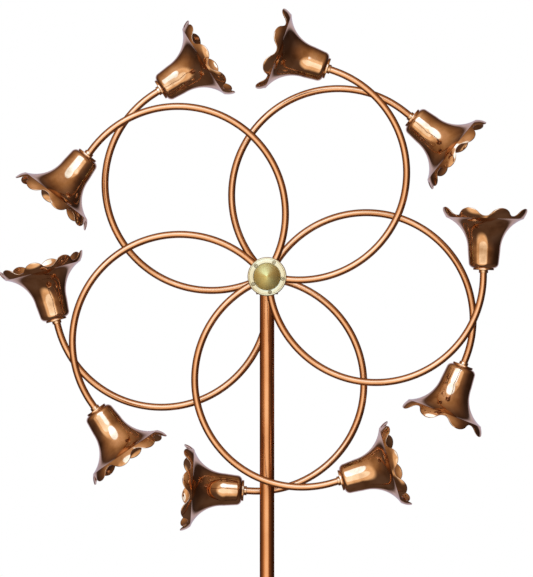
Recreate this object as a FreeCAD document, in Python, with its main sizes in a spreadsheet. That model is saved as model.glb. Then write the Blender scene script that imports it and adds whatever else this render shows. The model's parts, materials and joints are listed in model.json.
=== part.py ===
import FreeCAD, Part
import math
import os

import Sketcher

# A garden wind spinner: two wheels of curled copper arms, each arm ending in a copper bell,
# turning opposite ways on one fixed axle at the top of a staked mast.
#
# Millimetres, +Z up, +X to the right of someone facing the front wheel, -Y towards them.
# The origin is on the mast's axis at ground level, where the ground stake enters the soil.

DRIVING_SIZES = [
    # alias, value, meaning
    ("axle_height", 1350, "axle above the ground"),
    ("wheel_offset", 68, "mast axis to the middle plane of a wheel"),
    ("arm_count", 5, "arms on one wheel"),
    ("front_roll", 64.2, "degrees from +X to the first arm of the front wheel"),
    ("rear_roll", 50.65, "degrees from -X to the first arm of the rear wheel"),
    ("tube_radius", 4.05, "outside of an arm tube"),
    ("tube_wall", 0.8, "wall of an arm tube"),
    ("tube_start", 12.5, "hub axis to the inner end of an arm"),
    ("tube_straight", 20, "hub axis to the start of an arm's curve"),
    ("arm_bend", 121, "radius of an arm's curve"),
    ("arm_sweep", 168.3, "degrees an arm curls through"),
    ("arm_tail", 11, "straight end of an arm, behind its bell"),
    ("bell_sheet", 0.9, "thickness of the bell's copper"),
    ("bell_base", 11, "radius of the flat bottom of a bell"),
    ("bell_corner", 6, "rounding from the bottom into the wall"),
    ("bell_waist", 18.4, "wall radius where the flare begins"),
    ("bell_waist_level", 20, "distance of the flare's beginning from the bottom"),
    ("bell_crease", 43.8, "radius of the crease under the petals"),
    ("bell_crease_level", 56.3, "distance of the crease from the bottom"),
    ("flare_bend", 38.8, "radius of the flare's curve"),
    ("petal_tip", 49.6, "radius of the petals' tips"),
    ("petal_tip_level", 67.8, "distance of the petals' tips from the bottom"),
    ("petal_count", 8, "petals round one bell"),
    ("petal_half_width", 17.6, "valley to the middle of a petal"),
    ("valley_level", 58.8, "distance of the petals' valleys from the bottom"),
    ("lobe_bend", 13, "radius of a petal's rounded end"),
    ("ferrule_flange", 11.9, "radius of the flange behind a bell"),
    ("ferrule_sleeve", 5.3, "radius of the ferrule's sleeve"),
    ("flange_thickness", 2.2, "thickness of that flange"),
    ("ferrule_length", 5.5, "whole length of a ferrule"),
    ("stud_radius", 2, "M4 stud that holds a bell"),
    ("stud_plug", 14, "length of the plug inside the arm tube"),
    ("stud_reach", 8, "stud inside the bell"),
    ("stud_washer", 5, "radius of the washer inside a bell"),
    ("stud_washer_thickness", 1, "its thickness"),
    ("stud_nut", 3.5, "half the width across flats of the nut inside a bell"),
    ("stud_nut_thickness", 3.2, "its thickness"),
    ("hub_radius", 19, "outside of a hub body"),
    ("hub_half_width", 8, "half the length of a hub body"),
    ("plate_radius", 22, "outside of a hub's face plate"),
    ("plate_hole", 12, "hole in the face plate, which takes the dome's spigot"),
    ("plate_thickness", 2, "thickness of the face plate"),
    ("dome_radius", 15, "radius of the dome's foot"),
    ("dome_rise", 9, "height of the dome over the plate"),
    ("dome_wall", 1.2, "wall of the dome and its spigot"),
    ("screw_circle", 17.6, "radius of the circle of hub screws"),
    ("screw_radius", 1.25, "shank of a hub screw"),
    ("screw_head", 1.9, "head of a hub screw"),
    ("screw_head_rise", 0.9, "height of that head"),
    ("screw_bevel", 0.4, "bevel round that head"),
    ("screw_depth", 3.4, "hub screw inside the hub body"),
    ("cover_thickness", 1.5, "back cover of a hub"),
    ("cover_hole", 6, "hole in the back cover round the axle spacer"),
    ("bearing_outside", 9.5, "626 ball bearing, outside radius"),
    ("bearing_bore", 3, "its bore, and the axle's radius"),
    ("bearing_width", 6, "its width"),
    ("outer_land", 7.75, "inside radius of its outer ring"),
    ("inner_land", 4.75, "outside radius of its inner ring"),
    ("ball_circle", 6.25, "radius of its circle of balls"),
    ("ball_radius", 1.75, "radius of a ball"),
    ("ball_room", 0.05, "clearance round a ball"),
    ("ball_count", 8, "balls in one bearing"),
    ("cage_inside", 5.8, "inside radius of the ball cage"),
    ("cage_outside", 6.7, "outside radius of the ball cage"),
    ("cage_half_width", 2.3, "half the cage's length"),
    ("shoulder_radius", 8.4, "bore of the shoulder between the two bearings"),
    ("shoulder_half_width", 1.5, "half that shoulder's length"),
    ("spacer_radius", 4.5, "outside of the axle spacers"),
    ("axle_end", 84, "mast axis to the end of the axle"),
    ("axle_chamfer", 0.6, "chamfer on the axle's ends"),
    ("axle_washer", 5, "radius of the axle washers"),
    ("axle_washer_thickness", 1, "their thickness"),
    ("axle_nut", 5, "half the width across flats of the axle nuts"),
    ("axle_nut_thickness", 6, "their thickness"),
    ("head_radius", 12.4, "outside of the mast head"),
    ("head_drop", 20, "axle to the bottom of the mast head"),
    ("head_rise", 12, "axle to the top of the mast head"),
    ("head_edge", 2, "rounding on the mast head's top edge"),
    ("boss_radius", 9, "cross boss that carries the axle"),
    ("boss_end", 18, "mast axis to the end of the cross boss"),
    ("bush_cap", 5, "axle down to the top of the head bush"),
    ("bush_cap_thickness", 1, "thickness of the bush's closed end"),
    ("swivel_room", 0.05, "running clearance between the mast and the bush"),
    ("mast_radius", 8.25, "outside of the mast tubes"),
    ("mast_bore", 7.05, "inside of the mast tubes"),
    ("mast_foot", 18, "ground to the bottom of the lower mast"),
    ("mast_split", 700, "ground to the joint between the mast's halves"),
    ("joiner_half_length", 70, "half the length of the inner joiner"),
    ("joiner_bore", 5.3, "inside of the joiner"),
    ("mast_screw_radius", 2, "shank of the mast screws"),
    ("mast_screw_head", 3.5, "head of the mast screws"),
    ("mast_screw_head_rise", 2, "height of that head"),
    ("mast_screw_bevel", 0.8, "bevel round that head"),
    ("mast_screw_spacing", 35, "mast joint to each of its screws"),
    ("stake_screw_level", 80, "ground to the screw that holds the stake"),
    ("stake_radius", 6, "stake below the ground"),
    ("stake_depth", 250, "ground to the stake's point"),
    ("stake_point", 30, "length of the stake's taper"),
    ("stake_tip", 1, "radius of its blunt tip"),
    ("stake_spigot_top", 140, "ground to the top of the stake, inside the mast"),
    ("stake_collar", 11, "collar that the mast stands on"),
    ("bar_length", 160, "step bar, end to end"),
    ("bar_width", 24, "step bar, front to back"),
    ("bar_thickness", 6, "step bar, its thickness"),
    ("prong_spread", 62, "mast axis to each side prong"),
    ("prong_radius", 4, "side prongs"),
    ("prong_depth", 140, "ground to the prongs' points"),
    ("prong_point", 18, "length of a prong's taper"),
]

# Turn of each bell about its own axis, in degrees from having a valley towards the viewer.
FRONT_BELL_TURNS = (14.0, 31.5, 11.25, 0.0, 0.0)
REAR_BELL_TURNS = (37.0, 0.0, 33.75, 11.25, 11.25)

FULL_TURN = 360


class Size:
    """A number together with the sheet expression that works it out."""

    def __init__(self, value, text):
        self.value = value
        self.text = text

    @staticmethod
    def of(number):
        return number if isinstance(number, Size) else Size(number, repr(number))

    def join(self, sign, other, value):
        return Size(value, f"({self.text} {sign} {other.text})")

    def __add__(self, other):
        other = Size.of(other)
        return self.join("+", other, self.value + other.value)

    def __radd__(self, other):
        return Size.of(other) + self

    def __sub__(self, other):
        other = Size.of(other)
        return self.join("-", other, self.value - other.value)

    def __rsub__(self, other):
        return Size.of(other) - self

    def __mul__(self, other):
        other = Size.of(other)
        return self.join("*", other, self.value * other.value)

    def __rmul__(self, other):
        return Size.of(other) * self

    def __truediv__(self, other):
        other = Size.of(other)
        return self.join("/", other, self.value / other.value)

    def __rtruediv__(self, other):
        return Size.of(other) / self

    def __neg__(self):
        return 0 - self


def root(size):
    return Size(math.sqrt(size.value), f"sqrt({size.text})")


def cosine(size):
    return Size(math.cos(math.radians(size.value)), f"cos({size.text} * 1 deg)")


def sine(size):
    return Size(math.sin(math.radians(size.value)), f"sin({size.text} * 1 deg)")


class Sheet:
    """The spreadsheet of driving sizes; each alias is an attribute that holds a Size."""

    def __init__(self, document):
        cells = document.addObject("Spreadsheet::Sheet", "Sizes")
        for row, (alias, value, meaning) in enumerate(DRIVING_SIZES, start=1):
            cells.set(f"A{row}", meaning)
            cells.set(f"B{row}", str(value))
            cells.setAlias(f"B{row}", alias)
            setattr(self, alias, Size(value, f"Sizes.{alias}"))
        document.recompute()


doc = FreeCAD.newDocument("wind_spinner")
dim = Sheet(doc)
subparts = []

ZERO = Size(0, "0")
UP = FreeCAD.Vector(0, 0, 1)
SIDEWAYS = FreeCAD.Vector(1, 0, 0)
FORWARD = FreeCAD.Vector(0, 1, 0)
UPRIGHT = FreeCAD.Placement()


def rotation(axis, angle):
    return FreeCAD.Placement(FreeCAD.Vector(), FreeCAD.Rotation(axis, angle))


def shift(x, y, z):
    return FreeCAD.Placement(FreeCAD.Vector(x, y, z), FreeCAD.Rotation())


# ---------------------------------------------------------------- building blocks


def bind(feature, path, size):
    """Give a property its value, and the sheet expression that keeps it up to date."""
    feature.setExpression(path, size.text)


def new_body(label, placement):
    body = doc.addObject("PartDesign::Body", label)
    body.Label = label
    body.AllowCompound = True
    body.Placement = placement
    subparts.append(body)
    return body


def origin_part(body, role):
    return next(part for part in body.Origin.OriginFeatures if part.Role == role)


def seat_feature(feature, body, plane, x, y, angle, lift):
    """Attach to one of the body's own planes, moved by (x, y) in it, turned, and lifted off it."""
    feature.AttachmentSupport = [(origin_part(body, plane), "")]
    feature.MapMode = "FlatFace"
    spot = FreeCAD.Vector(x.value, y.value, lift.value)
    feature.AttachmentOffset = FreeCAD.Placement(spot, FreeCAD.Rotation(UP, angle.value))
    for path, size in (("Base.x", x), ("Base.y", y), ("Base.z", lift), ("Rotation.Angle", angle)):
        if size is not ZERO:
            bind(feature, f"AttachmentOffset.{path}", size)


def new_sketch(body, plane, x=ZERO, y=ZERO, angle=ZERO, lift=ZERO):
    sketch = body.newObject("Sketcher::SketchObject", "Sketch")
    seat_feature(sketch, body, plane, x, y, angle, lift)
    return sketch


def constrain(sketch, kind, *arguments, size):
    """Add a constraint whose value comes from the sheet."""
    index = sketch.addConstraint(Sketcher.Constraint(kind, *arguments, size.value))
    name = f"{kind}{index}"
    sketch.renameConstraint(index, name)
    bind(sketch, f"Constraints.{name}", size)


def fix_point(sketch, edge, end, x, y):
    """Fix one end of an edge at (x, y); a zero puts it on the sketch's own axis."""
    vertical_axis, horizontal_axis = -2, -1
    for kind, size, axis in (("DistanceX", x, vertical_axis), ("DistanceY", y, horizontal_axis)):
        if size.value == 0:
            sketch.addConstraint(Sketcher.Constraint("PointOnObject", edge, end, axis))
        else:
            constrain(sketch, kind, edge, end, size=size)


def arc_between(start, finish, bend):
    """The short arc from start to finish; a positive bend has its centre on the left."""
    chord = finish - start
    reach = math.sqrt(max(bend * bend - chord.Length**2 / 4, 0)) * math.copysign(1, bend)
    left = FreeCAD.Vector(-chord.y, chord.x, 0).normalize()
    centre = (start + finish) / 2 + left * reach
    ends = (start, finish) if bend > 0 else (finish, start)
    angles = [math.atan2((end - centre).y, (end - centre).x) for end in ends]
    if angles[1] < angles[0]:
        angles[1] += 2 * math.pi
    return Part.ArcOfCircle(Part.Circle(centre, UP, abs(bend)), *angles)


def draw_loop(sketch, corners):
    """Draw a closed outline of corners (x, y).

    A corner is (x, y, bend) where an arc leads to it, and (x, y, bend, "cap") where that arc is
    the profile of a ball's cap, whose centre is on the sketch's vertical axis.
    """
    vertical_axis = -2
    start_end, finish_end, centre_end = 1, 2, 3
    spots = [FreeCAD.Vector(Size.of(x).value, Size.of(y).value, 0) for x, y, *_ in corners]
    edges = []
    for index, (_, _, *arc) in enumerate(corners):
        before = spots[index - 1]
        if not arc:
            edges.append((sketch.addGeometry(Part.LineSegment(before, spots[index])), True))
            continue
        bend = arc[0]
        forwards = bend.value > 0
        edge = sketch.addGeometry(arc_between(before, spots[index], bend.value))
        edges.append((edge, forwards))
        if "cap" in arc:
            centred = Sketcher.Constraint("PointOnObject", edge, centre_end, vertical_axis)
            sketch.addConstraint(centred)
        else:
            constrain(sketch, "Radius", edge, size=bend if forwards else -bend)
    for index, (edge, forwards) in enumerate(edges):
        last_edge, last_forwards = edges[index - 1]
        head = start_end if forwards else finish_end
        last_tail = finish_end if last_forwards else start_end
        sketch.addConstraint(Sketcher.Constraint("Coincident", last_edge, last_tail, edge, head))
        tail = finish_end if forwards else start_end
        x, y = corners[index][:2]
        fix_point(sketch, edge, tail, Size.of(x), Size.of(y))


def draw_circle(sketch, radius, x=ZERO, y=ZERO):
    spot = FreeCAD.Vector(x.value, y.value, 0)
    circle = sketch.addGeometry(Part.Circle(spot, UP, radius.value))
    constrain(sketch, "Radius", circle, size=radius)
    centre_end = 3
    fix_point(sketch, circle, centre_end, x, y)


def revolve(body, sketch, kind="Revolution"):
    """Turn the sketch a full circle about its own vertical axis."""
    feature = body.newObject(f"PartDesign::{kind}", kind)
    feature.Profile = sketch
    feature.ReferenceAxis = (sketch, ["V_Axis"])
    feature.Angle = FULL_TURN
    return feature


def lathe(label, loops, placement=UPRIGHT, plane="XZ_Plane", **seat):
    """A turned part, or several on one axis: closed outlines of (radius, level) corners."""
    body = new_body(label, placement)
    sketch = new_sketch(body, plane, **seat)
    for loop in loops:
        draw_loop(sketch, loop)
    feature = revolve(body, sketch)
    return body, feature


def box_loop(inside, outside, bottom, top):
    return [(inside, bottom), (outside, bottom), (outside, top), (inside, top)]


def pattern(body, feature, count, axis="Z_Axis"):
    """Repeat a feature evenly round one of the body's axes."""
    copies = body.newObject("PartDesign::PolarPattern", "PolarPattern")
    copies.Originals = [feature]
    copies.Axis = (origin_part(body, axis), [""])
    copies.Angle = FULL_TURN
    copies.Occurrences = int(count.value)
    bind(copies, "Occurrences", count)
    body.Tip = copies
    return copies


def pad(body, sketch, length, both_ways=False):
    feature = body.newObject("PartDesign::Pad", "Pad")
    feature.Profile = sketch
    feature.Length = length.value
    bind(feature, "Length", length)
    feature.Midplane = both_ways
    return feature


def pocket(body, sketch, depth, forwards=True, both_ways=False):
    """Cut along the sketch's normal if forwards, and against it if not."""
    before = body_volume(body)
    feature = body.newObject("PartDesign::Pocket", "Pocket")
    feature.Profile = sketch
    feature.Length = depth.value
    bind(feature, "Length", depth)
    feature.Reversed = forwards
    feature.Midplane = both_ways
    doc.recompute()
    if body_volume(body) >= before:
        raise RuntimeError(f"a pocket in {body.Label} removes nothing")
    return feature


def body_volume(body):
    doc.recompute()
    return body.Shape.Volume


def hexagon_loop(half_flats):
    """Corners of a hexagon about the sketch's origin, with two of its flats upright."""
    corner = half_flats / cosine(Size(30, "30"))
    half_side = corner / 2
    return [
        (half_flats, half_side),
        (ZERO, corner),
        (-half_flats, half_side),
        (-half_flats, -half_side),
        (ZERO, -corner),
        (half_flats, -half_side),
    ]


# ---------------------------------------------------------------- frames of reference


def axle_frame():
    """Z runs along the axle towards the front."""
    return shift(0, 0, dim.axle_height.value) * rotation(SIDEWAYS, 90)


def wheel_frame(side):
    """Origin in the middle of a wheel, Z along the axle away from the mast, X along arm one."""
    facing, roll = {
        "front": (0, dim.front_roll.value),
        "rear": (180, dim.rear_roll.value),
    }[side]
    outwards = rotation(UP, facing) * rotation(SIDEWAYS, 90)
    lift = shift(0, 0, dim.axle_height.value)
    return lift * outwards * shift(0, 0, dim.wheel_offset.value) * rotation(UP, roll)


# End of an arm in its wheel's frame: the curve starts along X and turns to the left.
curve_end_x = dim.tube_straight + dim.arm_bend * sine(dim.arm_sweep)
curve_end_y = dim.arm_bend - dim.arm_bend * cosine(dim.arm_sweep)
arm_end_x = curve_end_x + dim.arm_tail * cosine(dim.arm_sweep)
arm_end_y = curve_end_y + dim.arm_tail * sine(dim.arm_sweep)


def arm_frame(side, number):
    return wheel_frame(side) * rotation(UP, FULL_TURN / dim.arm_count.value * number)


def bell_frame(side, number, turn):
    """Origin in the middle of a bell's bottom, Z out of its mouth."""
    place = arm_frame(side, number) * shift(arm_end_x.value, arm_end_y.value, 0)
    return place * rotation(UP, dim.arm_sweep.value) * rotation(FORWARD, 90) * rotation(UP, turn)


# ---------------------------------------------------------------- wheels


def make_arm(side, number):
    body = new_body(f"{side}_arm_{number + 1}", arm_frame(side, number))
    path = new_sketch(body, "XY_Plane")
    start = FreeCAD.Vector(dim.tube_start.value, 0, 0)
    curve_start = FreeCAD.Vector(dim.tube_straight.value, 0, 0)
    curve_end = FreeCAD.Vector(curve_end_x.value, curve_end_y.value, 0)
    end = FreeCAD.Vector(arm_end_x.value, arm_end_y.value, 0)
    centre = FreeCAD.Vector(dim.tube_straight.value, dim.arm_bend.value, 0)
    quarter = math.pi / 2
    sweep = math.radians(dim.arm_sweep.value)
    circle = Part.Circle(centre, UP, dim.arm_bend.value)
    inner = path.addGeometry(Part.LineSegment(start, curve_start))
    curve = path.addGeometry(Part.ArcOfCircle(circle, -quarter, sweep - quarter))
    tail = path.addGeometry(Part.LineSegment(curve_end, end))
    path.addConstraint(Sketcher.Constraint("Coincident", inner, 2, curve, 1))
    path.addConstraint(Sketcher.Constraint("Coincident", curve, 2, tail, 1))
    constrain(path, "Radius", curve, size=dim.arm_bend)
    fix_point(path, inner, 1, dim.tube_start, ZERO)
    fix_point(path, inner, 2, dim.tube_straight, ZERO)
    fix_point(path, curve, 2, curve_end_x, curve_end_y)
    fix_point(path, tail, 2, arm_end_x, arm_end_y)
    section = new_sketch(body, "YZ_Plane", lift=dim.tube_start)
    draw_circle(section, dim.tube_radius)
    draw_circle(section, dim.tube_radius - dim.tube_wall)
    pipe = body.newObject("PartDesign::AdditivePipe", "Tube")
    pipe.Profile = section
    pipe.Spine = (path, ["Edge1", "Edge2", "Edge3"])


def make_bell(side, number, turn):
    """A spun copper cup with a curled flare and a ring of petals bent forward."""
    rounded = dim.bell_base + dim.bell_corner
    outline = [
        (ZERO, ZERO),
        (dim.bell_base, ZERO),
        (rounded, dim.bell_corner, dim.bell_corner),
        (dim.bell_waist, dim.bell_waist_level),
        (dim.bell_crease, dim.bell_crease_level, -dim.flare_bend),
        (dim.petal_tip, dim.petal_tip_level),
        (ZERO, dim.petal_tip_level),
    ]
    label = f"{side}_bell_{number + 1}"
    body, solid = lathe(label, [outline], bell_frame(side, number, turn))
    doc.recompute()
    levels = [face.CenterOfMass.z for face in solid.Shape.Faces]
    mouth = levels.index(max(levels)) + 1
    shell = body.newObject("PartDesign::Thickness", "Shell")
    shell.Base = (solid, [f"Face{mouth}"])
    shell.Value = dim.bell_sheet.value
    bind(shell, "Value", dim.bell_sheet)
    shell.Reversed = True
    hole = new_sketch(body, "XY_Plane")
    draw_circle(hole, dim.stud_radius)
    pocket(body, hole, dim.bell_corner)
    notch = new_sketch(body, "XZ_Plane")
    rise = dim.petal_tip_level - dim.valley_level
    bends = (dim.petal_half_width * dim.petal_half_width + rise * rise) / (2 * rise)
    valley_bend = bends - dim.lobe_bend
    turn_x = dim.petal_half_width * valley_bend / bends
    turn_level = dim.valley_level + rise * valley_bend / bends
    above = dim.petal_tip_level + rise
    draw_loop(
        notch,
        [
            (turn_x, turn_level, valley_bend),
            (dim.petal_half_width, dim.petal_tip_level, -dim.lobe_bend),
            (dim.petal_half_width, above),
            (-dim.petal_half_width, above),
            (-dim.petal_half_width, dim.petal_tip_level),
            (-turn_x, turn_level, -dim.lobe_bend),
        ],
    )
    valley = pocket(body, notch, dim.petal_tip + rise, forwards=False)
    pattern(body, valley, dim.petal_count)
    return body


def at_arm_ends(label, side, outline):
    """One turned piece behind or inside every bell of a wheel, levels measured from its bottom."""
    body, piece = lathe(
        label,
        [outline],
        wheel_frame(side),
        plane="XY_Plane",
        x=arm_end_x,
        y=arm_end_y,
        angle=dim.arm_sweep - 90,
    )
    pattern(body, piece, dim.arm_count)


def make_bell_fixings(side):
    sleeve_end = -dim.ferrule_length
    flange_back = -dim.flange_thickness
    at_arm_ends(
        f"{side}_bell_ferrules",
        side,
        [
            (dim.tube_radius, sleeve_end),
            (dim.ferrule_sleeve, sleeve_end),
            (dim.ferrule_sleeve, flange_back),
            (dim.ferrule_flange, flange_back),
            (dim.ferrule_flange, ZERO),
            (dim.tube_radius, ZERO),
        ],
    )
    bore = dim.tube_radius - dim.tube_wall
    at_arm_ends(
        f"{side}_bell_studs",
        side,
        [
            (ZERO, -dim.stud_plug),
            (bore, -dim.stud_plug),
            (bore, ZERO),
            (dim.stud_radius, ZERO),
            (dim.stud_radius, dim.stud_reach),
            (ZERO, dim.stud_reach),
        ],
    )
    washer_top = dim.bell_sheet + dim.stud_washer_thickness
    washer = box_loop(dim.stud_radius, dim.stud_washer, dim.bell_sheet, washer_top)
    at_arm_ends(f"{side}_bell_washers", side, washer)
    nuts = new_body(f"{side}_bell_nuts", wheel_frame(side) * rotation(UP, dim.arm_sweep.value))
    # In this turned frame the first bell's axis is parallel to X.
    along = arm_end_x * cosine(dim.arm_sweep) + arm_end_y * sine(dim.arm_sweep)
    across = arm_end_y * cosine(dim.arm_sweep) - arm_end_x * sine(dim.arm_sweep)
    sketch = new_sketch(nuts, "YZ_Plane", x=across, lift=along + washer_top)
    draw_loop(sketch, hexagon_loop(dim.stud_nut))
    draw_circle(sketch, dim.stud_radius)
    pattern(nuts, pad(nuts, sketch, dim.stud_nut_thickness), dim.arm_count)


def make_hub(side):
    frame = wheel_frame(side)
    front = dim.hub_half_width
    shoulder = dim.shoulder_half_width
    body, _ = lathe(
        f"{side}_hub_body",
        [
            [
                (dim.bearing_outside, -front),
                (dim.hub_radius, -front),
                (dim.hub_radius, front),
                (dim.bearing_outside, front),
                (dim.bearing_outside, shoulder),
                (dim.shoulder_radius, shoulder),
                (dim.shoulder_radius, -shoulder),
                (dim.bearing_outside, -shoulder),
            ]
        ],
        frame,
    )
    socket = new_sketch(body, "YZ_Plane", lift=dim.tube_start)
    draw_circle(socket, dim.tube_radius)
    pattern(body, pocket(body, socket, dim.hub_radius), dim.arm_count)
    tapped = new_sketch(body, "XY_Plane", lift=front - dim.screw_depth)
    draw_circle(tapped, dim.screw_radius, x=dim.screw_circle)
    pattern(body, pocket(body, tapped, dim.hub_radius), dim.arm_count)

    plate_top = front + dim.plate_thickness
    ring = box_loop(dim.plate_hole, dim.plate_radius, front, plate_top)
    plate, _ = lathe(f"{side}_face_plate", [ring], frame)
    holes = new_sketch(plate, "XY_Plane")
    draw_circle(holes, dim.screw_radius, x=dim.screw_circle)
    pattern(plate, pocket(plate, holes, dim.hub_radius), dim.arm_count)

    foot = dim.dome_radius
    ball = (foot * foot + dim.dome_rise * dim.dome_rise) / (2 * dim.dome_rise)
    inner_ball = ball - dim.dome_wall
    apex = plate_top + dim.dome_rise
    spigot = dim.plate_hole - dim.dome_wall
    ceiling = apex - ball + root(inner_ball * inner_ball - spigot * spigot)
    lathe(
        f"{side}_dome_cap",
        [
            [
                (spigot, front),
                (dim.plate_hole, front),
                (dim.plate_hole, plate_top),
                (foot, plate_top),
                (ZERO, apex, ball, "cap"),
                (ZERO, apex - dim.dome_wall),
                (spigot, ceiling, -inner_ball, "cap"),
            ]
        ],
        frame,
    )

    head_top = plate_top + dim.screw_head_rise
    screws, screw = lathe(
        f"{side}_hub_screws",
        [
            [
                (ZERO, front - dim.screw_depth),
                (dim.screw_radius, front - dim.screw_depth),
                (dim.screw_radius, plate_top),
                (dim.screw_head, plate_top),
                (dim.screw_head, head_top - dim.screw_bevel),
                (dim.screw_head - dim.screw_bevel, head_top),
                (ZERO, head_top),
            ]
        ],
        frame,
        x=dim.screw_circle,
    )
    pattern(screws, screw, dim.arm_count)

    cover_back = -front - dim.cover_thickness
    lathe(f"{side}_back_cover", [box_loop(dim.cover_hole, dim.hub_radius, cover_back, -front)], frame)


def bearing_middles():
    """Levels of the two bearings' middles in a wheel's frame."""
    middle = dim.shoulder_half_width + dim.bearing_width / 2
    return (middle, -middle)


def cut_race(body, level):
    """Cut the groove that the balls run in."""
    race = body.newObject("PartDesign::SubtractiveTorus", "Race")
    seat_feature(race, body, "XY_Plane", ZERO, ZERO, ZERO, level)
    bind(race, "Radius1", dim.ball_circle)
    bind(race, "Radius2", dim.ball_radius + dim.ball_room)
    doc.recompute()


def make_bearings(side):
    """Everything in a wheel's two bearings but the inner rings, which belong to the axle."""
    frame = wheel_frame(side)
    half = dim.bearing_width / 2
    middles = bearing_middles()
    rings, _ = lathe(
        f"{side}_bearing_outer_rings",
        [box_loop(dim.outer_land, dim.bearing_outside, middle - half, middle + half) for middle in middles],
        frame,
    )
    for middle in middles:
        cut_race(rings, middle)

    balls = new_body(f"{side}_bearing_balls", frame)
    for middle in middles:
        ball = balls.newObject("PartDesign::AdditiveSphere", "Ball")
        seat_feature(ball, balls, "XY_Plane", dim.ball_circle, ZERO, ZERO, middle)
        bind(ball, "Radius", dim.ball_radius)
        doc.recompute()
        pattern(balls, ball, dim.ball_count)

    cages, _ = lathe(
        f"{side}_bearing_cages",
        [
            box_loop(
                dim.cage_inside,
                dim.cage_outside,
                middle - dim.cage_half_width,
                middle + dim.cage_half_width,
            )
            for middle in middles
        ],
        frame,
    )
    openings = new_sketch(cages, "YZ_Plane")
    for middle in middles:
        draw_circle(openings, dim.ball_radius + dim.ball_room, y=middle)
    pattern(cages, pocket(cages, openings, dim.hub_radius), dim.ball_count)


# ---------------------------------------------------------------- axle and mast


def both_sides(loops):
    """The same outlines towards the front and towards the rear."""
    mirrored = [
        [(corner[0], -corner[1]) for corner in reversed(loop)]
        for loop in loops
    ]
    return loops + mirrored


def make_axle():
    frame = axle_frame()
    end = dim.axle_end
    edge = dim.axle_chamfer
    lathe(
        "axle",
        [
            [
                (ZERO, -end),
                (dim.bearing_bore - edge, -end),
                (dim.bearing_bore, edge - end),
                (dim.bearing_bore, end - edge),
                (dim.bearing_bore - edge, end),
                (ZERO, end),
            ]
        ],
        frame,
    )
    half = dim.bearing_width / 2
    outer, inner = (dim.wheel_offset + middle for middle in bearing_middles())
    spacer = box_loop(dim.bearing_bore, dim.spacer_radius, dim.boss_end, inner - half)
    lathe("axle_spacers", both_sides([spacer]), frame)
    between = box_loop(dim.bearing_bore, dim.spacer_radius, inner + half, outer - half)
    lathe("bearing_spacers", both_sides([between]), frame)
    rings = [
        box_loop(dim.bearing_bore, dim.inner_land, middle - half, middle + half)
        for middle in (inner, outer)
    ]
    races, _ = lathe("bearing_inner_rings", both_sides(rings), frame)
    for middle in (inner, outer, -inner, -outer):
        cut_race(races, middle)
    washer_top = outer + half + dim.axle_washer_thickness
    washer = box_loop(dim.bearing_bore, dim.axle_washer, outer + half, washer_top)
    lathe("axle_washers", both_sides([washer]), frame)
    nuts = new_body("axle_nuts", frame)
    sketch = new_sketch(nuts, "XY_Plane", lift=washer_top)
    draw_loop(sketch, hexagon_loop(dim.axle_nut))
    draw_circle(sketch, dim.bearing_bore)
    pattern(nuts, pad(nuts, sketch, dim.axle_nut_thickness), Size(2, "2"), axis="X_Axis")


def make_head():
    """The sleeve on the mast's top, with a cross boss for the axle and a bush to turn on."""
    frame = shift(0, 0, dim.axle_height.value)
    body, _ = lathe(
        "mast_head",
        [
            [
                (ZERO, -dim.head_drop),
                (dim.head_radius, -dim.head_drop),
                (dim.head_radius, dim.head_rise - dim.head_edge),
                (dim.head_radius - dim.head_edge, dim.head_rise, dim.head_edge),
                (ZERO, dim.head_rise),
            ]
        ],
        frame,
    )
    boss = new_sketch(body, "XZ_Plane")
    draw_circle(boss, dim.boss_radius)
    pad(body, boss, 2 * dim.boss_end, both_ways=True)
    socket = new_sketch(body, "XY_Plane", lift=-dim.head_drop)
    draw_circle(socket, dim.bearing_outside)
    pocket(body, socket, dim.head_drop - dim.bush_cap)
    bore = new_sketch(body, "XZ_Plane")
    draw_circle(bore, dim.bearing_bore)
    pocket(body, bore, 2 * dim.axle_end, both_ways=True)

    bush_bore = dim.mast_radius + dim.swivel_room
    cap_bottom = -dim.bush_cap - dim.bush_cap_thickness
    lathe(
        "head_bush",
        [
            [
                (bush_bore, -dim.head_drop),
                (dim.bearing_outside, -dim.head_drop),
                (dim.bearing_outside, -dim.bush_cap),
                (ZERO, -dim.bush_cap),
                (ZERO, cap_bottom),
                (bush_bore, cap_bottom),
            ]
        ],
        frame,
    )


def drill_from_back(body, levels, radius):
    """Holes through the back wall of an upright tube."""
    sketch = new_sketch(body, "XZ_Plane")
    for level in levels:
        draw_circle(sketch, radius, y=level)
    pocket(body, sketch, dim.mast_radius + radius, forwards=False)


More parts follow.
